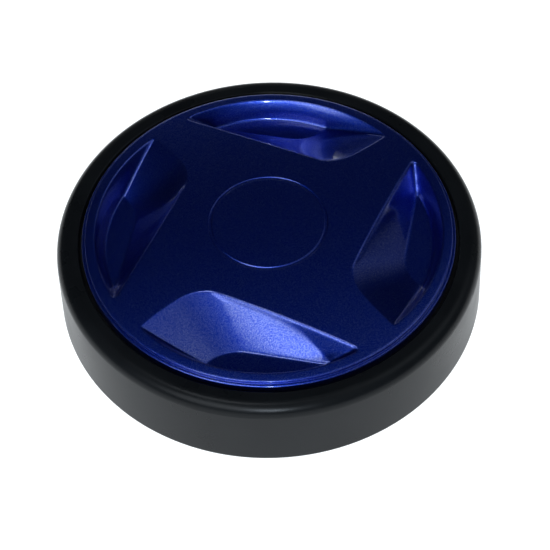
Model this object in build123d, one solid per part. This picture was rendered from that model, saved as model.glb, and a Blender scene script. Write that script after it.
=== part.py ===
from build123d import *
from math import cos, hypot, radians, sin, sqrt
import os

os.makedirs("parts", exist_ok=True)

# A rubber-tyred appliance wheel that lies on its back, with its spin axis along Z.
# The back of the tyre is the plane z = 0, and the domed hub cap faces up.
# Lengths are millimetres, and angles are degrees about Z from +X.

OVERLAP = 1.0                   # merged pieces run this far into each other
SAME_PLACE = 0.02               # positions closer than this are the same

# Tyre
TYRE_WIDTH = 25.4
TREAD_BACK_RADIUS = 67.5        # the tread tapers from here ...
TREAD_FRONT_RADIUS = 66.4       # ... to the front shoulder, for draft
SHOULDER_ROUND = 4.0
TYRE_BACK_ROUND = 1.5
TYRE_LIP_RADIUS = 59.5          # the front lip hides the rim's edge
TYRE_LIP_ROUND = 0.5
TYRE_SEAT_RADIUS = 60.0         # where the tyre grips the rim
TYRE_KEY_RADIUS = 62.5          # the rim's rib sits in a groove this deep
TYRE_KEY_LOW, TYRE_KEY_HIGH = 9.5, 14.5

# Wheel rim
BAND_WALL = 2.6
BAND_BOTTOM, BAND_TOP = 1.2, 22.2
WEB_BOTTOM, WEB_TOP = 8.0, 10.5
BARREL_RADIUS = 12.5
BARREL_BOTTOM, BARREL_TOP = 5.8, 18.2
RIB_COUNT = 8
RIB_WIDTH = 2.0
BACK_RIB_BOTTOM = 2.6
FRONT_RIB_TOP = 14.0

# Hub cap
DOME_TOP = 30.25
DOME_RADIUS = 515.0             # radius of the sphere that the face is part of
CAP_WALL = 2.2
FACE_EDGE_RADIUS = 57.3         # the domed face ends here ...
FACE_EDGE_ROUND = 0.6
FLANGE_RADIUS = 58.4            # ... and a narrow flange runs on to here
FLANGE_TOP = 26.1
FLANGE_ROUND = 0.5
SKIRT_CLEARANCE = 0.2
SKIRT_WALL = 2.2
SKIRT_BOTTOM = 18.5
RING_INNER_RADIUS, RING_OUTER_RADIUS = 17.6, 18.5    # the groove round the middle
RING_DEPTH = 0.35

# The cap's recesses. Each has a mouth on the face and a smaller floor below it. Both
# outlines run tip - straight side - rounded bend - tip, and close with an outer arc.
# A crease climbs from the floor's sharp tip to a place part of the way along the mouth's
# straight side, and leaves a steep three-sided facet beside the mouth's sharp tip.
RECESS_COUNT = 4
FLOOR_HEIGHT = 20.9
LOFT_TOP = 31.5                 # the cutter reaches above the face
MOUTH_ROUND = 0.8
MOUTH = {
    "sharp_tip": (53.9, 298.7),      # radius and angle about the wheel's axis
    "bend": (31.0, 227.6),
    "blunt_tip": (53.4, 222.7),
    "bend_round": 18.7,
    "outer_arc": 51.1,
    "crease": 0.42,                  # share of the straight side, from the sharp tip
}
FLOOR = {
    "sharp_tip": (51.2, 290.2),
    "bend": (43.5, 249.8),
    "blunt_tip": (51.3, 245.9),
    "bend_round": 13.5,
    "outer_arc": 44.9,
    "crease": 0.012,
}

# Snap hooks under the cap, and the slots they pass through in the web
HOOK_ANGLE = 305.0
HOOK_RADIUS = 36.2
HOOK_WIDTH, HOOK_THICKNESS = 8.0, 2.0
HOOK_REACH = 1.4                # how far the barb stands out
BARB_HEIGHT, BARB_EDGE = 2.0, 0.4
BARB_PLAY = 0.1                 # between the barb and the web
SLOT_CLEARANCE = 0.4
SLOT_LENGTH = 3.0
SLOT_SET_BACK = 0.2             # the slot starts this far behind the leg

# Axle and what sits on it, from the back to the front
AXLE_RADIUS = 5.0
RUNNING_CLEARANCE = 0.05
AXLE_BACK = 1.0
AXLE_FLANGE_RADIUS, AXLE_FLANGE_THICKNESS = 9.5, 2.4
SPANNER_FLATS = 16.0
AXLE_FRONT = 23.6
AXLE_CHAMFER = 0.6
TAPPED_HOLE_RADIUS = 2.5        # the core of an M6 thread
TAPPED_HOLE_DEPTH = 14.0
WASHER_THICKNESS = 0.8
WASHER_RADIUS = 9.0
BUSH_WALL = 3.0
BUSH_FLANGE_RADIUS, BUSH_FLANGE_THICKNESS = 10.5, 1.6
BUSH_LENGTH = 5.7
END_PLAY = 0.1
CLIP_THICKNESS = 1.0
CLIP_RADIUS = 8.0
CLIP_GROOVE_RADIUS = 4.1
CLIP_RING_RADIUS = 6.0
CLIP_MOUTH = 7.6
CLIP_PRONG_WIDTH = 3.0
CLIP_PRONG_ANGLES = (65, 180, 295)

BAND_RADIUS = TYRE_SEAT_RADIUS - BAND_WALL
SKIRT_RADIUS = BAND_RADIUS - SKIRT_CLEARANCE
BUSH_RADIUS = AXLE_RADIUS + RUNNING_CLEARANCE + BUSH_WALL
FRONT_WASHER_BOTTOM = BARREL_TOP + BUSH_FLANGE_THICKNESS + END_PLAY
CLIP_BOTTOM = FRONT_WASHER_BOTTOM + WASHER_THICKNESS


def dome_height(radius, depth=0.0):
    """Height of the domed face, or of a surface that far beneath it."""
    return DOME_TOP - depth - radius**2 / (2 * DOME_RADIUS)


def revolved(*lines):
    """The solid swept about Z by a closed outline of lines in the XZ plane."""
    return revolve(make_face(Wire(sum((line.edges() for line in lines), ShapeList()))), Axis.Z)


def at(radius, height):
    return (radius, 0, height)


def ring(inner, outer, bottom, top):
    """A plain tube, or a disc where inner is 0."""
    disc = Pos(0, 0, bottom) * extrude(Circle(outer), top - bottom)
    if inner == 0:
        return disc
    return disc - Pos(0, 0, bottom) * extrude(Circle(inner), top - bottom)


def round_rim(solid, radius, height, size):
    """Round the circular edges that lie at that radius and height."""
    rims = [
        edge
        for edge in solid.edges().filter_by(GeomType.CIRCLE)
        if abs(edge.radius - radius) < SAME_PLACE and abs(edge.arc_center.Z - height) < SAME_PLACE
    ]
    return fillet(rims, size)


def polar(radius, angle):
    return Vector(radius * cos(radians(angle)), radius * sin(radians(angle)))


def spread(shape, count, first=0.0):
    """Copies of a shape, evenly spaced about Z."""
    return [Rot(0, 0, first + 360 / count * i) * shape for i in range(count)]


def save(shape, node):
    export_step(shape, f"parts/{node}.step")


def tyre():
    """Solid rubber, with a front lip over the rim's edge and a groove for its rib."""
    outline = Polyline(
        at(TYRE_SEAT_RADIUS, 0),
        at(TREAD_BACK_RADIUS, 0),
        at(TREAD_FRONT_RADIUS, TYRE_WIDTH),
        at(TYRE_LIP_RADIUS, TYRE_WIDTH),
        at(TYRE_LIP_RADIUS, BAND_TOP),
        at(TYRE_SEAT_RADIUS, BAND_TOP),
        at(TYRE_SEAT_RADIUS, TYRE_KEY_HIGH),
        at(TYRE_KEY_RADIUS, TYRE_KEY_HIGH),
        at(TYRE_KEY_RADIUS, TYRE_KEY_LOW),
        at(TYRE_SEAT_RADIUS, TYRE_KEY_LOW),
        close=True,
    )
    solid = revolved(outline)
    solid = round_rim(solid, TREAD_FRONT_RADIUS, TYRE_WIDTH, SHOULDER_ROUND)
    solid = round_rim(solid, TREAD_BACK_RADIUS, 0, TYRE_BACK_ROUND)
    return round_rim(solid, TYRE_LIP_RADIUS, TYRE_WIDTH, TYRE_LIP_ROUND)


def rib(bottom, top):
    """One radial rib, from the barrel to the band."""
    length = BAND_RADIUS - BARREL_RADIUS + OVERLAP
    middle = (BAND_RADIUS + BARREL_RADIUS) / 2
    return Pos(middle, 0, (bottom + top) / 2) * Box(length, RIB_WIDTH, top - bottom)


def wheel_rim():
    """Band, web, ribs and barrel, moulded in one."""
    solid = ring(BAND_RADIUS, TYRE_SEAT_RADIUS, BAND_BOTTOM, BAND_TOP)
    solid += ring(TYRE_SEAT_RADIUS - OVERLAP, TYRE_KEY_RADIUS, TYRE_KEY_LOW, TYRE_KEY_HIGH)
    solid += ring(BUSH_RADIUS, BAND_RADIUS + OVERLAP, WEB_BOTTOM, WEB_TOP)
    solid += ring(BUSH_RADIUS, BARREL_RADIUS, BARREL_BOTTOM, BARREL_TOP)
    first_rib = HOOK_ANGLE + 180 / RIB_COUNT
    for back, front in zip(
        spread(rib(BACK_RIB_BOTTOM, WEB_BOTTOM), RIB_COUNT, first_rib),
        spread(rib(WEB_TOP, FRONT_RIB_TOP), RIB_COUNT, first_rib),
    ):
        solid += back
        solid += front
    slot_middle = HOOK_RADIUS + (SLOT_LENGTH - HOOK_THICKNESS) / 2 - SLOT_SET_BACK
    slot = Pos(slot_middle, 0, (WEB_BOTTOM + WEB_TOP) / 2) * Box(
        SLOT_LENGTH, HOOK_WIDTH + 2 * SLOT_CLEARANCE, 2 * (WEB_TOP - WEB_BOTTOM)
    )
    for cut in spread(slot, RECESS_COUNT, HOOK_ANGLE):
        solid -= cut
    return solid


def dome_arc(inner, outer, depth=0.0):
    """The arc of the dome between two radii, or of a surface that far beneath it."""
    radii = (inner, (inner + outer) / 2, outer)
    return ThreePointArc(*(at(radius, dome_height(radius, depth)) for radius in radii))


def cap_shell():
    """The domed shell with its ring groove, flange and skirt, before the recesses."""
    inner_edge = SKIRT_RADIUS - SKIRT_WALL
    groove_floor = dome_height(RING_OUTER_RADIUS) - RING_DEPTH
    solid = revolved(
        dome_arc(0, RING_INNER_RADIUS),
        Polyline(
            at(RING_INNER_RADIUS, dome_height(RING_INNER_RADIUS)),
            at(RING_INNER_RADIUS, groove_floor),
            at(RING_OUTER_RADIUS, groove_floor),
            at(RING_OUTER_RADIUS, dome_height(RING_OUTER_RADIUS)),
        ),
        dome_arc(RING_OUTER_RADIUS, FACE_EDGE_RADIUS),
        Polyline(
            at(FACE_EDGE_RADIUS, dome_height(FACE_EDGE_RADIUS)),
            at(FACE_EDGE_RADIUS, FLANGE_TOP),
            at(FLANGE_RADIUS, FLANGE_TOP),
            at(FLANGE_RADIUS, BAND_TOP),
            at(SKIRT_RADIUS, BAND_TOP),
            at(SKIRT_RADIUS, SKIRT_BOTTOM),
            at(inner_edge, SKIRT_BOTTOM),
            at(inner_edge, dome_height(inner_edge, CAP_WALL)),
        ),
        dome_arc(0, inner_edge, CAP_WALL),
        Line(at(0, DOME_TOP - CAP_WALL), at(0, DOME_TOP)),
    )
    solid = round_rim(solid, FACE_EDGE_RADIUS, dome_height(FACE_EDGE_RADIUS), FACE_EDGE_ROUND)
    return round_rim(solid, FLANGE_RADIUS, FLANGE_TOP, FLANGE_ROUND)


def under_face():
    """All the space below the middle of the cap's wall, to trim what the recesses add."""
    depth = CAP_WALL / 2
    return revolved(
        dome_arc(0, SKIRT_RADIUS, depth),
        Polyline(
            at(SKIRT_RADIUS, dome_height(SKIRT_RADIUS, depth)),
            at(SKIRT_RADIUS, 0),
            at(0, 0),
            at(0, DOME_TOP - depth),
        ),
    )


def recess_outline(corners, height):
    """A face with two straight sides, a rounded bend between them and an outer arc."""
    sharp, bend, blunt = corners["sharp_tip"], corners["bend"], corners["blunt_tip"]
    crease = corners["crease"]
    to_crease, to_blunt = (crease - bend).normalized(), (blunt - bend).normalized()
    half_angle = radians(to_crease.get_angle(to_blunt) / 2)
    trim = corners["bend_round"] / (sin(half_angle) / cos(half_angle))
    inward = (to_crease + to_blunt).normalized()
    crown = bend + inward * corners["bend_round"] * (1 / sin(half_angle) - 1)
    start, end = bend + to_crease * trim, bend + to_blunt * trim
    half_chord = (sharp - blunt).length / 2
    rise = corners["outer_arc"] - sqrt(corners["outer_arc"] ** 2 - half_chord**2)
    middle = (sharp + blunt) / 2
    outward = (sharp - blunt).cross(Vector(0, 0, 1)).normalized()
    if outward.dot(middle) < 0:
        outward = outward * -1
    edges = (
        Line(sharp, crease),
        Line(crease, start),
        ThreePointArc(start, crown, end),
        Line(end, blunt),
        ThreePointArc(blunt, middle + outward * rise, sharp),
    )
    return Pos(0, 0, height) * make_face(Wire([line.edge() for line in edges]))


def corner_points(sizes):
    """The corners of an outline, as points on the plane."""
    points = {name: polar(*sizes[name]) for name in ("sharp_tip", "bend", "blunt_tip")}
    straight_side = points["bend"] - points["sharp_tip"]
    points["crease"] = points["sharp_tip"] + straight_side * sizes["crease"]
    return points


def recess_corners():
    """The floor's corners, and the mouth's carried on up to the top of the cutter."""
    floor, mouth = corner_points(FLOOR), corner_points(MOUTH)
    top = {}
    for name, point in mouth.items():
        stretch = (LOFT_TOP - FLOOR_HEIGHT) / (dome_height(point.length) - FLOOR_HEIGHT)
        top[name] = floor[name] + (point - floor[name]) * stretch
    for name, mouth_point in (("bend_round", "bend"), ("outer_arc", "sharp_tip")):
        stretch = (LOFT_TOP - FLOOR_HEIGHT) / (dome_height(mouth[mouth_point].length) - FLOOR_HEIGHT)
        floor[name] = FLOOR[name]
        top[name] = FLOOR[name] + (MOUTH[name] - FLOOR[name]) * stretch
    return floor, top


def recess_solids():
    """The space of one recess, and the same grown by the wall round it."""
    floor, top = recess_corners()
    floor_face, top_face = recess_outline(floor, FLOOR_HEIGHT), recess_outline(top, LOFT_TOP)
    space = loft([floor_face, top_face], ruled=True)
    grown = loft(
        [
            Pos(0, 0, -CAP_WALL) * offset(floor_face, CAP_WALL, kind=Kind.ARC),
            offset(top_face, CAP_WALL, kind=Kind.ARC),
        ],
        ruled=True,
    )
    return space, grown & under_face()


def snap_hook():
    """A leg down from the cap, with a barb that catches under the web."""
    leg_top = dome_height(HOOK_RADIUS, CAP_WALL / 2)
    leg_bottom = WEB_BOTTOM - BARB_PLAY - BARB_HEIGHT
    leg = Pos(HOOK_RADIUS, 0, (leg_top + leg_bottom) / 2) * Box(
        HOOK_THICKNESS, HOOK_WIDTH, leg_top - leg_bottom
    )
    face = HOOK_RADIUS + HOOK_THICKNESS / 2
    barb = make_face(
        Polyline(
            (face, 0, leg_bottom),
            (face + HOOK_REACH, 0, leg_bottom + BARB_HEIGHT - BARB_EDGE),
            (face + HOOK_REACH, 0, leg_bottom + BARB_HEIGHT),
            (face, 0, leg_bottom + BARB_HEIGHT),
            close=True,
        )
    )
    return leg + extrude(barb, HOOK_WIDTH / 2, dir=(0, 1, 0), both=True)


def mouth_edges(solid):
    """The edges where the recesses meet the domed face."""

    def on_face(point):
        radius = hypot(point.X, point.Y)
        near_ring = radius < RING_OUTER_RADIUS + OVERLAP
        return not near_ring and abs(point.Z - dome_height(radius)) < SAME_PLACE

    return [edge for edge in solid.edges() if all(on_face(edge @ part) for part in (0.1, 0.5, 0.9))]


def hub_cap():
    """A thin lacquered shell with swept recesses, held by snap hooks."""
    solid = cap_shell()
    space, wall = recess_solids()
    for grown in spread(wall, RECESS_COUNT):
        solid += grown
    for cut in spread(space, RECESS_COUNT):
        solid -= cut
    solid = fillet(mouth_edges(solid), MOUTH_ROUND)
    for hook in spread(snap_hook(), RECESS_COUNT, HOOK_ANGLE):
        solid += hook
    return solid


def bush():
    """A flanged plain bearing, flange down, with its flange's back on z = 0."""
    bore = AXLE_RADIUS + RUNNING_CLEARANCE
    flange = ring(bore, BUSH_FLANGE_RADIUS, 0, BUSH_FLANGE_THICKNESS)
    return flange + ring(bore, BUSH_RADIUS, BUSH_FLANGE_THICKNESS, BUSH_FLANGE_THICKNESS + BUSH_LENGTH)


def washer():
    return ring(AXLE_RADIUS + RUNNING_CLEARANCE, WASHER_RADIUS, 0, WASHER_THICKNESS)


def axle():
    """A stub with a flange at the back, a tapped hole in it and a clip groove in front."""
    flange_top = AXLE_BACK + AXLE_FLANGE_THICKNESS
    solid = ring(0, AXLE_FLANGE_RADIUS, AXLE_BACK, flange_top)
    solid &= Pos(0, 0, AXLE_BACK) * Box(SPANNER_FLATS, 4 * AXLE_FLANGE_RADIUS, 4 * AXLE_FLANGE_THICKNESS)
    stem = ring(0, AXLE_RADIUS, AXLE_BACK, AXLE_FRONT)
    stem = chamfer(stem.edges().group_by(Axis.Z)[-1], AXLE_CHAMFER)
    solid += stem
    solid -= ring(0, TAPPED_HOLE_RADIUS, AXLE_BACK, AXLE_BACK + TAPPED_HOLE_DEPTH)
    return solid - ring(CLIP_GROOVE_RADIUS, 2 * AXLE_RADIUS, CLIP_BOTTOM, CLIP_BOTTOM + CLIP_THICKNESS)


def retaining_clip():
    """An E-shaped clip: an open ring with three prongs that reach into the groove."""
    top = CLIP_BOTTOM + CLIP_THICKNESS
    solid = ring(CLIP_RING_RADIUS, CLIP_RADIUS, CLIP_BOTTOM, top)
    mouth = Pos(CLIP_RADIUS, 0, CLIP_BOTTOM) * Box(2 * CLIP_RADIUS, CLIP_MOUTH, 4 * CLIP_THICKNESS)
    prong_end = CLIP_RING_RADIUS + OVERLAP
    middle = (CLIP_GROOVE_RADIUS + prong_end) / 2
    prong = Pos(middle, 0, CLIP_BOTTOM + CLIP_THICKNESS / 2) * Box(
        prong_end - CLIP_GROOVE_RADIUS, CLIP_PRONG_WIDTH, CLIP_THICKNESS
    )
    solid -= mouth
    for angle in CLIP_PRONG_ANGLES:
        solid += Rot(0, 0, angle) * prong
    return solid - ring(0, CLIP_GROOVE_RADIUS, CLIP_BOTTOM, top)


save(tyre(), "tyre")
save(wheel_rim(), "wheel_rim")
save(hub_cap(), "hub_cap")
save(Pos(0, 0, BARREL_BOTTOM - BUSH_FLANGE_THICKNESS) * bush(), "back_bush")
save(Pos(0, 0, BARREL_TOP + BUSH_FLANGE_THICKNESS) * Rot(180, 0, 0) * bush(), "front_bush")
save(axle(), "axle")
save(Pos(0, 0, AXLE_BACK + AXLE_FLANGE_THICKNESS) * washer(), "back_washer")
save(Pos(0, 0, FRONT_WASHER_BOTTOM) * washer(), "front_washer")
save(retaining_clip(), "retaining_clip")
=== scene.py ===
from math import cos, pi, radians, sin

import bpy
import numpy as np
from mathutils import Matrix, Vector


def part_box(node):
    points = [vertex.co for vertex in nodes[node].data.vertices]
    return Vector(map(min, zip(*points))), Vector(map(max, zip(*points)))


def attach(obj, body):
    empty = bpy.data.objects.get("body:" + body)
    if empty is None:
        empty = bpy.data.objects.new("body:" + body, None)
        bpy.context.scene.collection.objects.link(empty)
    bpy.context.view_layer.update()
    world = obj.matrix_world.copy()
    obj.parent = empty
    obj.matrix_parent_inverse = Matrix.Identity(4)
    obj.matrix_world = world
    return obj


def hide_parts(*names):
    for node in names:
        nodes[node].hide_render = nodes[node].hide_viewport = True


# An appliance wheel: a black rubber tyre round a glossy blue hub cap with four recesses.

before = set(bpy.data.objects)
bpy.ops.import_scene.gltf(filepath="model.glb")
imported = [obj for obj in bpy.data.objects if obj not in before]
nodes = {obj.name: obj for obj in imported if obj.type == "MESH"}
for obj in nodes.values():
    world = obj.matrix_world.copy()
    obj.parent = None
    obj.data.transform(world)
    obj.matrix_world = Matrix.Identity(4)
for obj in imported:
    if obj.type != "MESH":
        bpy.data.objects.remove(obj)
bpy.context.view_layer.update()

MM = 0.001

# ---------------------------------------------------------------- camera

CAMERA_ELEVATION = 52.81    # degrees above the floor, looking along +Y
CAMERA_ROLL = 2.19          # degrees, anticlockwise in the picture
CAMERA_DISTANCE = 525.6 * MM
CAMERA_RIGHT, CAMERA_UP = 1.02 * MM, 1.54 * MM      # from the line through the origin
FRAMING_RIGHT, FRAMING_UP = 0.49 * MM, 0.16 * MM    # the same, along the rolled picture's sides
LENS, SENSOR = 105.85, 36.0
CLIP_START, CLIP_END = 0.01, 20


def add_camera():
    """A camera at the viewing angle, held level first and then rolled about its view line."""
    elevation, roll = radians(CAMERA_ELEVATION), radians(CAMERA_ROLL)
    back = Vector((0, -cos(elevation), sin(elevation)))
    level_right = Vector((1, 0, 0))
    level_up = back.cross(level_right)
    right = level_right * cos(roll) - level_up * sin(roll)
    up = level_right * sin(roll) + level_up * cos(roll)
    place = back * CAMERA_DISTANCE + level_right * CAMERA_RIGHT + level_up * CAMERA_UP
    place += right * FRAMING_RIGHT + up * FRAMING_UP
    data = bpy.data.cameras.new("camera")
    data.lens, data.sensor_width = LENS, SENSOR
    data.clip_start, data.clip_end = CLIP_START, CLIP_END
    camera = bpy.data.objects.new("camera", data)
    camera.matrix_world = Matrix.Translation(place) @ Matrix((right, up, back)).transposed().to_4x4()
    bpy.context.scene.collection.objects.link(camera)
    bpy.context.scene.camera = camera


# ---------------------------------------------------------------- the hub cap's shape, in mm

DOME_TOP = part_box("hub_cap")[1].z / MM
DOME_RADIUS = 515.0
CAP_WALL = 2.2
CAP_RADIUS = 58.4
FACE_EDGE_RADIUS, FACE_EDGE_ROUND = 57.3, 0.3
FACE_EDGE_START = 84            # degrees from straight out, where the rounding leaves the dome
FLANGE_TOP, FLANGE_ROUND = 26.1, 0.5
# The tight fillet where the flange leaves the face's side, as (outwards, up) from their corner.
FLANGE_CORNER = ((0, 0.12), (0.06, 0.02), (0.2, 0))
SEAT_HEIGHT, SEAT_CHAMFER = 22.2, 0.2               # the flange stands on the rim here
SKIRT_RADIUS, SKIRT_INNER_RADIUS = 57.2, 55.0
SKIRT_BOTTOM, SKIRT_CHAMFER = 18.5, 0.3

GROOVE_RADIUS, GROOVE_HALF_WIDTH, GROOVE_DEPTH = 18.05, 0.5, 0.22
GROOVE_SQUARENESS = 6           # the higher, the flatter its bottom and the steeper its sides

RECESS_COUNT = 4
FLOOR_HEIGHT, CUTTER_TOP = 20.9, 31.5
# Corners as radius and angle about the axis: the mouth's on the face, then the floor's.
SHARP_TIP = ((53.9, 298.7), (51.2, 290.2))
BEND = ((31.0, 227.6), (43.5, 249.8))
BLUNT_TIP = ((53.4, 222.7), (51.3, 245.9))
BEND_ROUND = (18.7, 13.5)       # radii at the mouth, then at the floor
OUTER_ARC = (51.1, 44.9)        # the same
CREASE_SHARE = 0.42             # where the crease meets the mouth's long side, from its sharp tip
VALLEY_ROUND = 1.2              # the fillet between the walls and round the floor
EDGE_SOFTNESS = 0.24            # the blur that rounds every edge
UNDER_SOFTNESS = CAP_WALL / 4   # the same, on the hidden side
BELL_REACH = 4                  # where a blur's bell curve is cut off, in its own widths
HALVINGS = 20                   # of the height between floor and cutter top, to find a wall

HOOK_COUNT, HOOK_ANGLE, HOOK_RADIUS = 4, 305.0, 36.2
HOOK_WIDTH, HOOK_THICKNESS, HOOK_REACH = 8.0, 2.0, 1.4
HOOK_BOTTOM, HOOK_CHAMFER = 5.9, 0.3
BARB_TOP, BARB_EDGE = 7.9, 0.4

SEGMENTS = 720
ARC_POINTS = 7
# The face's rings of vertices lie close where the shape turns quickly: first radius, end and step.
INNER_RINGS = (3, 17, 3.4)
OUTER_RINGS = ((20.5, 28, 2.2), (28.4, 50.2, 0.5), (50.4, 55.6, 0.21), (55.8, 56.5, 0.3))
GROOVE_REACH, GROOVE_RINGS = 0.72, 19
UNDER_STEP = 4                  # the hidden underside has one segment for each four above
UNDER_RINGS = (SKIRT_INNER_RADIUS - 0.2, 1.5, 34)   # first radius, last and count


def dome_height(radius):
    """The height of the domed face, without its groove and recesses."""
    return DOME_TOP - radius**2 / (2 * DOME_RADIUS)


def groove_depth(radius):
    """The fine ring groove: flat-bottomed, with soft edges."""
    across = (radius - GROOVE_RADIUS) / GROOVE_HALF_WIDTH
    return GROOVE_DEPTH * np.exp(-(across**GROOVE_SQUARENESS))


def unit(vectors):
    """The vectors, one in each row, at length 1."""
    return vectors / np.linalg.norm(vectors, axis=-1, keepdims=True)


def dot(a, b):
    """The dot product, row by row."""
    return (a * b).sum(-1)


def polar(radius, angle):
    """A point about the axis, with the angle in degrees."""
    return np.array((radius * cos(radians(angle)), radius * sin(radians(angle))))


def lifted(mouth, floor, mouth_height, heights):
    """A feature that runs from its floor value through its mouth value, at each height."""
    share = (heights - FLOOR_HEIGHT) / (mouth_height - FLOOR_HEIGHT)
    if np.ndim(mouth):
        share = share[:, None]
    return floor + (mouth - floor) * share


def corner_at(corner, heights):
    """A corner of the recess at each height."""
    (mouth_radius, mouth_angle), floor = corner
    return lifted(polar(mouth_radius, mouth_angle), polar(*floor), dome_height(mouth_radius), heights)


def crease_at(heights):
    """The crease that climbs from the floor's sharp tip to the mouth's long side."""
    tip, bend = polar(*SHARP_TIP[0]), polar(*BEND[0])
    mouth = tip + (bend - tip) * CREASE_SHARE
    return lifted(mouth, polar(*SHARP_TIP[1]), dome_height(np.linalg.norm(mouth)), heights)


def past_line(points, start, along):
    """How far each point lies to the left of a line."""
    offset = points - start
    return along[..., 0] * offset[:, 1] - along[..., 1] * offset[:, 0]


def past_bend(points, heights):
    """How far each point lies outside the long side, the short side or the round bend between."""
    bend, blunt = corner_at(BEND, heights), corner_at(BLUNT_TIP, heights)
    bend_round = lifted(*BEND_ROUND, dome_height(BEND[0][0]), heights)
    to_crease, to_blunt = unit(crease_at(heights) - bend), unit(blunt - bend)
    sides = np.maximum(past_line(points, bend, to_crease), past_line(points, bend, -to_blunt))
    half_angle = np.arccos(dot(to_crease, to_blunt)) / 2
    centre = bend + unit(to_crease + to_blunt) * (bend_round / np.sin(half_angle))[:, None]
    offset = points - centre
    in_bend = (dot(offset, to_crease) < 0) & (dot(offset, to_blunt) < 0)
    return np.where(in_bend, np.linalg.norm(offset, axis=-1) - bend_round, sides)


def past_facet(points, heights):
    """How far each point lies outside the facet between the crease and the sharp tip."""
    above = np.array((CUTTER_TOP,))
    along = unit(corner_at(SHARP_TIP, above) - crease_at(above))[0]
    return past_line(points, corner_at(SHARP_TIP, heights), along)


def past_outer_wall(points, heights):
    """How far each point lies outside the arc that joins the two tips."""
    sharp, blunt = corner_at(SHARP_TIP, heights), corner_at(BLUNT_TIP, heights)
    outer_arc = lifted(*OUTER_ARC, dome_height(SHARP_TIP[0][0]), heights)
    middle, chord = (sharp + blunt) / 2, sharp - blunt
    half_chord = np.linalg.norm(chord, axis=-1) / 2
    outward = unit(np.stack((chord[:, 1], -chord[:, 0]), -1))
    arc_centre = middle - outward * np.sqrt(outer_arc**2 - half_chord**2)[:, None]
    return np.linalg.norm(points - arc_centre, axis=-1) - outer_arc


def outside_recess(points, heights):
    """How far each point lies outside the recess's outline at that height; negative inside."""
    walls = (past_bend, past_facet, past_outer_wall)
    return np.maximum.reduce([past_wall(points, heights) for past_wall in walls])


def recess_depth(points):
    """How deep the recess is below the domed face at each point, with sharp edges."""
    low = np.full(len(points), FLOOR_HEIGHT)
    high = np.full(len(points), CUTTER_TOP)
    in_floor = outside_recess(points, low) < 0
    for _ in range(HALVINGS):
        middle = (low + high) / 2
        inside = outside_recess(points, middle) < 0
        high = np.where(inside, middle, high)
        low = np.where(inside, low, middle)
    wall = np.where(in_floor, FLOOR_HEIGHT, high)
    return np.maximum(dome_height(np.linalg.norm(points, axis=-1)) - wall, 0)


def blurred(grid, cells):
    """A grid softened by a bell curve of that many cells, along both axes."""
    reach = int(BELL_REACH * cells)
    bell = np.exp(-0.5 * (np.arange(-reach, reach + 1) / cells) ** 2)
    bell /= bell.sum()
    for axis in (0, 1):
        grid = np.apply_along_axis(np.convolve, axis, grid, bell, "same")
    return grid


def ball_steps(cells):
    """Each cell under a ball of that radius, and how far the ball's surface drops there."""
    reach = range(-int(cells), int(cells) + 1)
    for across in reach:
        for along in reach:
            apart = across**2 + along**2
            if apart <= cells**2:
                yield (across, along), cells - np.sqrt(cells**2 - apart)


def filleted(depth, cells):
    """The depth where a ball of that radius, rolled over the shape, can reach."""
    centre, result = np.full_like(depth, np.inf), np.full_like(depth, -np.inf)
    for step, drop in ball_steps(cells):
        centre = np.minimum(centre, np.roll(depth, step, (0, 1)) + drop)
    for step, drop in ball_steps(cells):
        result = np.maximum(result, np.roll(centre, step, (0, 1)) - drop)
    return result


def grown(grid, cells):
    """A grid with each value spread over a disc of that many cells."""
    result = grid.copy()
    for step, _ in ball_steps(cells):
        result = np.maximum(result, np.roll(grid, step, (0, 1)))
    return result


class DepthMap:
    """The depth of one recess and its slopes on a fine grid, read for all four recesses."""

    # The grid's edges, which clear the recess that lies towards -Y, and its cell.
    LEFT, RIGHT, NEAR, FAR, CELL = -48.0, 34.0, -59.0, -22.0, 0.2

    def __init__(self):
        across = np.arange(self.LEFT, self.RIGHT, self.CELL)
        along = np.arange(self.NEAR, self.FAR, self.CELL)
        points = np.stack(np.meshgrid(across, along, indexing="ij"), -1)
        sharp = recess_depth(points.reshape(-1, 2)).reshape(points.shape[:2])
        round_valleys = filleted(sharp / self.CELL, VALLEY_ROUND / self.CELL) * self.CELL
        depth = blurred(round_valleys, EDGE_SOFTNESS / self.CELL)
        slopes = np.gradient(depth, self.CELL)
        under = blurred(grown(sharp, int(CAP_WALL / self.CELL)), UNDER_SOFTNESS / self.CELL)
        self.layers = {"depth": depth, "slope_x": slopes[0], "slope_y": slopes[1], "under": under}

    def read(self, layer, points):
        """The layer between grid points, and 0 off the grid."""
        grid = self.layers[layer]
        place = (points - (self.LEFT, self.NEAR)) / self.CELL
        on_grid = (place >= 0).all(-1) & (place < np.array(grid.shape) - 2).all(-1)
        place = np.where(on_grid[:, None], place, 0)
        low = place.astype(int)
        (i, j), (u, v) = low.T, (place - low).T
        value = (grid[i, j] * (1 - u) + grid[i + 1, j] * u) * (1 - v)
        value += (grid[i, j + 1] * (1 - u) + grid[i + 1, j + 1] * u) * v
        return np.where(on_grid, value, 0)

    def sample(self, points):
        """Depth, slope and underside depth at points anywhere on the cap."""
        depth, under = np.zeros(len(points)), np.zeros(len(points))
        slope = np.zeros((len(points), 2))
        for turn in range(RECESS_COUNT):
            angle = 2 * pi * turn / RECESS_COUNT
            rotation = np.array(((cos(angle), -sin(angle)), (sin(angle), cos(angle))))
            local = points @ rotation
            depth += self.read("depth", local)
            under += self.read("under", local)
            steep = np.stack((self.read("slope_x", local), self.read("slope_y", local)), -1)
            slope += steep @ rotation.T
        return depth, slope, under


def arc(centre_radius, centre_height, size, start):
    """Points of a profile arc, from start degrees above straight out, down to straight out."""
    angles = np.radians(np.linspace(start, 0, ARC_POINTS))
    return [(centre_radius + size * cos(a), centre_height + size * sin(a)) for a in angles]


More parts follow.
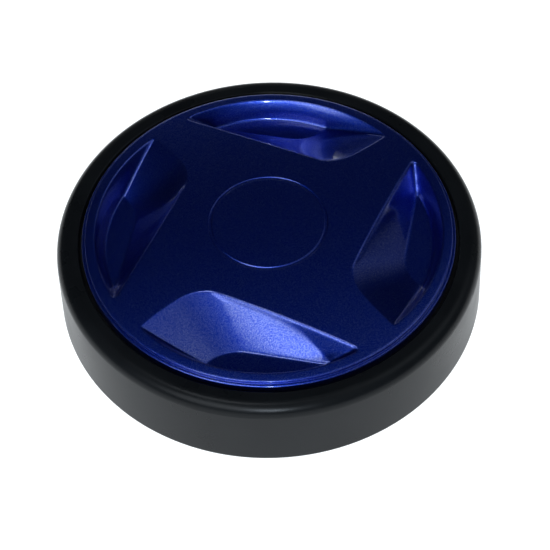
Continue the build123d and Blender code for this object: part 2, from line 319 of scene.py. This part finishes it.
def face_radii():
    """Radii of the face's rings of vertices, from the middle outwards."""
    groove = GROOVE_RADIUS + np.linspace(-GROOVE_REACH, GROOVE_REACH, GROOVE_RINGS)
    outer = [np.arange(*stretch) for stretch in OUTER_RINGS]
    return np.concatenate((np.arange(*INNER_RINGS), groove, *outer))


def rim_profile():
    """The face's rounded edge, the flange, the seat and the skirt, from the face outwards."""
    edge_height = dome_height(FACE_EDGE_RADIUS) - FACE_EDGE_ROUND
    edge = arc(FACE_EDGE_RADIUS - FACE_EDGE_ROUND, edge_height, FACE_EDGE_ROUND, FACE_EDGE_START)
    corner = [(FACE_EDGE_RADIUS + out, FLANGE_TOP + up) for out, up in FLANGE_CORNER]
    flange = arc(CAP_RADIUS - FLANGE_ROUND, FLANGE_TOP - FLANGE_ROUND, FLANGE_ROUND, 90)
    seat = [
        (CAP_RADIUS, SEAT_HEIGHT + SEAT_CHAMFER),
        (CAP_RADIUS - SEAT_CHAMFER, SEAT_HEIGHT),
        (SKIRT_RADIUS, SEAT_HEIGHT),
    ]
    skirt = [
        (SKIRT_RADIUS, SKIRT_BOTTOM + SKIRT_CHAMFER),
        (SKIRT_RADIUS - SKIRT_CHAMFER, SKIRT_BOTTOM),
    ]
    return edge + corner + flange + seat + skirt


def profile_normals(profile):
    """The outward direction at each point of a profile, in the plane of radius and height."""
    steps = np.gradient(np.array(profile), axis=0)
    return unit(np.stack((-steps[:, 1], steps[:, 0]), -1))


def around(radius, count):
    """Points evenly round a circle."""
    angles = 2 * pi * np.arange(count) / count
    return np.stack((radius * np.cos(angles), radius * np.sin(angles)), -1)


class CapMesh:
    """The cap's vertices, normals and faces, added a ring at a time from the middle of the face."""

    def __init__(self):
        self.depths = DepthMap()
        self.places, self.normals, self.faces = [], [], []
        self.rings = []

    def add(self, place, normal):
        """Add one vertex, and give its number."""
        self.places.append(tuple(place))
        self.normals.append(tuple(normal))
        return len(self.places) - 1

    def add_ring(self, flat, heights, normals):
        """Add a ring of vertices, which join_rings joins to the one before."""
        first = len(self.places)
        self.places += [(x, y, z) for (x, y), z in zip(flat, heights)]
        self.normals += [tuple(normal) for normal in normals]
        self.rings.append(range(first, first + len(flat)))

    def face_ring(self, radius):
        """A ring on the domed face, its groove and its recesses."""
        flat = around(radius, SEGMENTS)
        depth, slope, _ = self.depths.sample(flat)
        nudge = 0.01
        fall = (groove_depth(radius + nudge) - groove_depth(radius - nudge)) / (2 * nudge)
        gradient = -flat / DOME_RADIUS - flat / radius * fall - slope
        heights = dome_height(radius) - groove_depth(radius) - depth
        normals = unit(np.column_stack((-gradient, np.ones(SEGMENTS))))
        self.add_ring(flat, heights, normals)

    def profile_ring(self, radius, height, lean):
        """A plain ring of the rim, where lean is the normal in radius and height."""
        flat = around(radius, SEGMENTS)
        normals = np.column_stack((flat / radius * lean[0], np.full(SEGMENTS, lean[1])))
        self.add_ring(flat, np.full(SEGMENTS, height), normals)

    def skirt_ring(self, height):
        """A ring on the inner side of the skirt."""
        flat = around(SKIRT_INNER_RADIUS, SEGMENTS // UNDER_STEP)
        inward = np.column_stack((-flat / SKIRT_INNER_RADIUS, np.zeros(len(flat))))
        self.add_ring(flat, np.full(len(flat), height), inward)

    def under_ring(self, radius):
        """A ring on the hidden side, one wall below the face and the recesses."""
        flat = around(radius, SEGMENTS // UNDER_STEP)
        _, _, under = self.depths.sample(flat)
        heights = dome_height(radius) - CAP_WALL - under
        self.add_ring(flat, heights, np.tile((0.0, 0.0, -1.0), (len(flat), 1)))

    def join_rings(self):
        """Faces between each pair of rings: four-sided, with more corners where the count drops."""
        for inner, outer in zip(self.rings, self.rings[1:]):
            step = len(inner) // len(outer)
            count = len(outer)
            for i in range(count):
                here = [inner[(i * step + k) % len(inner)] for k in range(step + 1)]
                self.faces.append((*here[::-1], outer[i], outer[(i + 1) % count]))

    def add_hooks(self):
        """The snap hooks under the face, whose flat faces find their own normals."""
        corners, faces = hook_prism()
        for turn in range(HOOK_COUNT):
            angle = radians(HOOK_ANGLE + 360 / HOOK_COUNT * turn)
            first = len(self.places)
            for out, across, height in corners:
                place = (out * cos(angle) - across * sin(angle), out * sin(angle) + across * cos(angle))
                self.add((*place, height), (0, 0, 0))
            self.faces += [tuple(first + i for i in face) for face in faces]

    def close(self, ring, centre, upward):
        """A fan from a ring to a point on the axis."""
        count = len(ring)
        for i in range(count):
            pair = (ring[i], ring[(i + 1) % count])
            self.faces.append((centre, *pair) if upward else (centre, *pair[::-1]))


def hook_prism():
    """One snap hook, a leg with a barb at the foot: its corners as (out, across, up), and its faces."""
    face = HOOK_RADIUS + HOOK_THICKNESS / 2
    back = HOOK_RADIUS - HOOK_THICKNESS / 2
    top = dome_height(HOOK_RADIUS) - CAP_WALL
    profile = [
        (back, top),
        (back, HOOK_BOTTOM + HOOK_CHAMFER),
        (back + HOOK_CHAMFER, HOOK_BOTTOM),
        (face, HOOK_BOTTOM),
        (face + HOOK_REACH, BARB_TOP - BARB_EDGE),
        (face + HOOK_REACH, BARB_TOP),
        (face, BARB_TOP),
        (face, top),
    ]
    count = len(profile)
    corners = [(r, side * HOOK_WIDTH / 2, z) for side in (-1, 1) for r, z in profile]
    faces = [tuple(range(count)), tuple(range(2 * count - 1, count - 1, -1))]
    faces += [(i, i + count, (i + 1) % count + count, (i + 1) % count) for i in range(count)]
    return corners, faces


def mesh_object(name, places, faces, normals, smooth_count):
    """A mesh with its own normals, where the first smooth_count faces are smooth."""
    mesh = bpy.data.meshes.new(name)
    mesh.from_pydata([Vector(place) * MM for place in places], [], faces)
    mesh.polygons.foreach_set("use_smooth", [i < smooth_count for i in range(len(faces))])
    mesh.normals_split_custom_set_from_vertices(normals)
    piece = bpy.data.objects.new(name, mesh)
    bpy.context.scene.collection.objects.link(piece)
    return piece


def make_hub_cap():
    """The whole cap in one piece: face, rim, skirt, hidden side and snap hooks."""
    cap = CapMesh()
    centre = cap.add((0, 0, DOME_TOP), (0, 0, 1))
    for radius in face_radii():
        cap.face_ring(radius)
    profile = rim_profile()
    for (radius, height), lean in zip(profile, profile_normals(profile)):
        cap.profile_ring(radius, height, lean)
    for height in (SKIRT_BOTTOM, SEAT_HEIGHT):
        cap.skirt_ring(height)
    for radius in np.linspace(*UNDER_RINGS):
        cap.under_ring(radius)
    under_centre = cap.add((0, 0, DOME_TOP - CAP_WALL), (0, 0, -1))
    cap.join_rings()
    cap.close(cap.rings[0], centre, upward=True)
    cap.close(cap.rings[-1], under_centre, upward=False)
    smooth_count = len(cap.faces)
    cap.add_hooks()
    return mesh_object("hub_cap_shell", cap.places, cap.faces, cap.normals, smooth_count)


# ---------------------------------------------------------------- materials

# Where a colour is a pair, the surface varies between the two.
DEEP_BLUES = ((0.003, 0.028, 0.3), (0.008, 0.05, 0.47))
PALE_BLUE = (0.35, 0.45, 0.85)
RUBBER_BLACKS = ((0.011, 0.0125, 0.0145), (0.016, 0.018, 0.0205))
PLASTIC_BLACKS = ((0.012, 0.012, 0.013), (0.022, 0.022, 0.024))
ACETAL_WHITES = ((0.76, 0.74, 0.68), (0.84, 0.83, 0.78))
ZINC_GREYS = ((0.52, 0.52, 0.5), (0.66, 0.66, 0.64))
STEEL_GREYS = ((0.06, 0.06, 0.065), (0.1, 0.1, 0.11))
PAPER_GREYS = ((0.3, 0.3, 0.29), (0.34, 0.34, 0.33))


class Nodes:
    """A node tree, with short ways to add nodes and join them."""

    def __init__(self, owner):
        owner.use_nodes = True
        self.tree = owner.node_tree

    def node(self, kind, **settings):
        """A node: a capitalised setting is a socket's value, and any other is the node's own."""
        made = self.tree.nodes.new(kind)
        for key, value in settings.items():
            if key[0].isupper():
                made.inputs[key.replace("_", " ")].default_value = value
            else:
                setattr(made, key, value)
        return made

    def link(self, source, target):
        """A link between two sockets."""
        self.tree.links.new(source, target)

    def separate(self, vector):
        """The outputs X, Y and Z of a vector."""
        parts = self.node("ShaderNodeSeparateXYZ")
        self.link(vector, parts.inputs["Vector"])
        return parts.outputs


class Shader(Nodes):
    """A Principled material with small helpers for its nodes."""

    def __init__(self, name, **sockets):
        self.material = bpy.data.materials.new(name)
        super().__init__(self.material)
        self.surface = self.tree.nodes["Principled BSDF"]
        for socket, value in sockets.items():
            self.surface.inputs[socket.replace("_", " ")].default_value = value
        self.place = self.node("ShaderNodeTexCoord").outputs["Object"]

    def noise(self, scale, detail):
        """A noise value on the object's own coordinates, in features per metre."""
        texture = self.node("ShaderNodeTexNoise", Scale=scale, Detail=detail)
        self.link(self.place, texture.inputs["Vector"])
        return texture.outputs["Fac"]

    def ramp(self, value, low, high, from_min=0.3, from_max=0.7):
        """A number that follows value from low to high."""
        ends = {"From_Min": from_min, "From_Max": from_max, "To_Min": low, "To_Max": high}
        remap = self.node("ShaderNodeMapRange", **ends)
        self.link(value, remap.inputs["Value"])
        return remap.outputs["Result"]

    def blend_colours(self, value, low, high):
        """A colour between two, each a plain colour or another node's output."""
        mix = self.node("ShaderNodeMix", data_type="RGBA")
        ends = [socket for socket in mix.inputs if socket.type == "RGBA"]
        for socket, colour in zip(ends, (low, high)):
            if isinstance(colour, tuple):
                socket.default_value = (*colour, 1)
            else:
                self.link(colour, socket)
        self.link(value, mix.inputs["Factor"])
        return next(socket for socket in mix.outputs if socket.type == "RGBA")

    def colour_by(self, value, colours):
        """The surface's colour follows a noise value between two colours."""
        colour = self.blend_colours(self.ramp(value, 0, 1), *colours)
        self.link(colour, self.surface.inputs["Base Color"])

    def roughness_by(self, value, low, high):
        """The surface's roughness follows a noise value."""
        self.link(self.ramp(value, low, high), self.surface.inputs["Roughness"])

    def bump_by(self, height, strength, distance):
        """The surface's small relief follows a noise value, over a distance in metres."""
        relief = self.node("ShaderNodeBump", Strength=strength, Distance=distance)
        self.link(height, relief.inputs["Height"])
        self.link(relief.outputs["Normal"], self.surface.inputs["Normal"])


def cap_lacquer():
    """Metallic blue under a clear coat: deep blue flakes, with brighter pale ones among them."""
    shader = Shader("cap_lacquer", Metallic=1.0, Coat_Weight=1.0, Coat_Roughness=0.035, Coat_IOR=1.5)
    flakes = shader.node("ShaderNodeTexVoronoi", Scale=20000.0)
    shader.link(shader.place, flakes.inputs["Vector"])
    chance = shader.node("ShaderNodeSeparateColor")
    shader.link(flakes.outputs["Color"], chance.inputs["Color"])
    pale = shader.ramp(chance.outputs["Red"], 0, 1, from_min=0.84, from_max=0.92)
    deep_blue = shader.blend_colours(chance.outputs["Green"], *DEEP_BLUES)
    colour = shader.blend_colours(pale, deep_blue, PALE_BLUE)
    shader.link(colour, shader.surface.inputs["Base Color"])
    roughness = shader.ramp(pale, 0.42, 0.3, from_min=0, from_max=1)
    shader.link(roughness, shader.surface.inputs["Roughness"])
    shader.bump_by(shader.noise(4200, detail=2), strength=0.3, distance=0.03 * MM)
    return shader.material


def tyre_rubber():
    """Moulded black rubber: satin, with a fine grain and slight patches."""
    shader = Shader("tyre_rubber", IOR=1.3)
    patches = shader.noise(60, detail=4)
    shader.colour_by(patches, RUBBER_BLACKS)
    shader.roughness_by(patches, 0.26, 0.33)
    shader.bump_by(shader.noise(2600, detail=2), strength=0.25, distance=0.06 * MM)
    return shader.material


def rim_plastic():
    """Black moulded plastic with a fine eroded grain."""
    shader = Shader("rim_plastic", IOR=1.49)
    patches = shader.noise(90, detail=3)
    shader.colour_by(patches, PLASTIC_BLACKS)
    shader.roughness_by(patches, 0.45, 0.6)
    shader.bump_by(shader.noise(1800, detail=4), strength=0.3, distance=0.05 * MM)
    return shader.material


def bush_plastic():
    """Natural white acetal, slightly translucent."""
    shader = Shader("bush_plastic", Roughness=0.38, Subsurface_Weight=0.15, Subsurface_Scale=2 * MM)
    shader.colour_by(shader.noise(200, detail=2), ACETAL_WHITES)
    return shader.material


def turned_steel(name, greys, roughness):
    """Steel with the fine rings that a lathe leaves round its axis."""
    shader = Shader(name, Metallic=1.0)
    place = shader.separate(shader.place)
    flat = shader.node("ShaderNodeCombineXYZ")
    shader.link(place["X"], flat.inputs["X"])
    shader.link(place["Y"], flat.inputs["Y"])
    radius = shader.node("ShaderNodeVectorMath", operation="LENGTH")
    shader.link(flat.outputs["Vector"], radius.inputs[0])
    ring_place = shader.node("ShaderNodeCombineXYZ")
    shader.link(radius.outputs["Value"], ring_place.inputs["X"])
    shader.link(place["Z"], ring_place.inputs["Z"])
    texture = shader.node("ShaderNodeTexNoise", Scale=9000.0, Detail=2.0)
    shader.link(ring_place.outputs["Vector"], texture.inputs["Vector"])
    rings = texture.outputs["Fac"]
    shader.colour_by(rings, greys)
    shader.roughness_by(rings, *roughness)
    shader.bump_by(rings, strength=0.2, distance=0.02 * MM)
    return shader.material


def dress(piece, material):
    """The piece shows this material and no other."""
    piece.data.materials.clear()
    piece.data.materials.append(material)


# ---------------------------------------------------------------- stage and light

FLOOR_HALF_SIDE = 3.0
FLOOR_DROP = 0.1 * MM           # below the wheel, so that the two never share a plane

SKY_COLOUR = (0.9, 0.95, 1, 1)
HORIZON_LOW, HORIZON_HIGH = 0.02, 0.08      # sines of elevation: the band is full, then gone
HORIZON_STRENGTH, SKY_STRENGTH = 0.36, 0.005
# Soft patches of sky: towards, full within, gone beyond (degrees), strength.
SKY_GLOWS = (
    ((-0.42, -0.66, 0.63), 9, 25, 2.6),
    ((-0.19, 0.0, 0.98), 5, 10, 4.2),
    ((0.1, -0.4, 0.91), 12, 46, 0.2),
    ((0.5, 0.15, 0.84), 5, 25, 0.6),
    ((0.77, 0.45, 0.45), 3, 22, 0.17),
)
# Flat lights: name, place, size, watts, colour.
PANELS = (
    ("tube_lamp", (-0.03, -0.84, 0.545), (0.05, 0.28), 2.6, (0.8, 0.9, 1)),
    ("back_window", (-0.1, 1.2, 0.52), (0.9, 0.1), 0.4, (1, 1, 1)),
)


def add_floor():
    """A broad pale sheet that the wheel lies on, slightly lit from within."""
    mesh = bpy.data.meshes.new("floor")
    square = ((-1, -1), (1, -1), (1, 1), (-1, 1))
    corners = [(x * FLOOR_HALF_SIDE, y * FLOOR_HALF_SIDE, -FLOOR_DROP) for x, y in square]
    mesh.from_pydata(corners, [], [(0, 1, 2, 3)])
    floor = bpy.data.objects.new("floor", mesh)
    bpy.context.scene.collection.objects.link(floor)
    glow = {"Emission_Color": (0.95, 0.98, 1, 1), "Emission_Strength": 0.9}
    shader = Shader("floor_paper", Roughness=0.9, **glow)
    colour = shader.blend_colours(shader.noise(3, detail=2), *PAPER_GREYS)
    shader.link(colour, shader.surface.inputs["Base Color"])
    dress(floor, shader.material)


def add_panel(name, place, size, watts, colour):
    """A flat soft light that faces the wheel's place on the floor."""
    data = bpy.data.lights.new(name, "AREA")
    data.shape = "RECTANGLE"
    data.size, data.size_y = size
    data.energy, data.color = watts, colour
    panel = bpy.data.objects.new(name, data)
    facing = (-Vector(place)).to_track_quat("-Z", "Y").to_matrix().to_4x4()
    panel.matrix_world = Matrix.Translation(place) @ facing
    bpy.context.scene.collection.objects.link(panel)


def sky_glow(sky, direction, toward, inner, outer, strength):
    """A round soft patch of light in the sky: full within inner degrees, gone beyond outer."""
    lean = sky.node("ShaderNodeVectorMath", operation="DOT_PRODUCT")
    lean.inputs[1].default_value = Vector(toward).normalized()
    sky.link(direction, lean.inputs[0])
    ends = {"From_Min": cos(radians(outer)), "From_Max": cos(radians(inner)), "To_Max": strength}
    fade = sky.node("ShaderNodeMapRange", interpolation_type="SMOOTHSTEP", **ends)
    sky.link(lean.outputs["Value"], fade.inputs["Value"])
    return fade.outputs["Result"]


def horizon_band(sky, direction):
    """Bright at the horizon, and down to the plain sky's strength above it."""
    heights = {"From_Min": HORIZON_LOW, "From_Max": HORIZON_HIGH}
    strengths = {"To_Min": HORIZON_STRENGTH, "To_Max": SKY_STRENGTH}
    fade = sky.node("ShaderNodeMapRange", **heights, **strengths)
    sky.link(sky.separate(direction)["Z"], fade.inputs["Value"])
    return fade.outputs["Result"]


def add_world():
    """A dark studio with a bright horizon and soft bright patches in the sky."""
    world = bpy.data.worlds.new("studio")
    sky = Nodes(world)
    direction = sky.node("ShaderNodeTexCoord").outputs["Generated"]
    total = horizon_band(sky, direction)
    for patch in SKY_GLOWS:
        add = sky.node("ShaderNodeMath")
        sky.link(total, add.inputs[0])
        sky.link(sky_glow(sky, direction, *patch), add.inputs[1])
        total = add.outputs["Value"]
    background = sky.tree.nodes["Background"]
    background.inputs["Color"].default_value = SKY_COLOUR
    sky.link(total, background.inputs["Strength"])
    bpy.context.scene.world = world


def add_light():
    """The lamps, and how light becomes colour in the picture."""
    for panel in PANELS:
        add_panel(*panel)
    bpy.context.scene.view_settings.view_transform = "Standard"
    bpy.context.scene.view_settings.look = "Medium High Contrast"


# ---------------------------------------------------------------- put together

rubber, lacquer, black_plastic, acetal = tyre_rubber(), cap_lacquer(), rim_plastic(), bush_plastic()
zinc = turned_steel("axle_steel", ZINC_GREYS, roughness=(0.25, 0.4))
black_steel = turned_steel("clip_steel", STEEL_GREYS, roughness=(0.3, 0.45))

for node, material in {
    "tyre": rubber,
    "wheel_rim": black_plastic,
    "back_bush": acetal,
    "front_bush": acetal,
    "back_washer": acetal,
    "axle": zinc,
    "front_washer": zinc,
    "retaining_clip": black_steel,
}.items():
    dress(nodes[node], material)

hub_cap = make_hub_cap()
dress(hub_cap, lacquer)
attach(hub_cap, "wheel")
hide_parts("hub_cap")

add_floor()
add_camera()
add_world()
add_light()
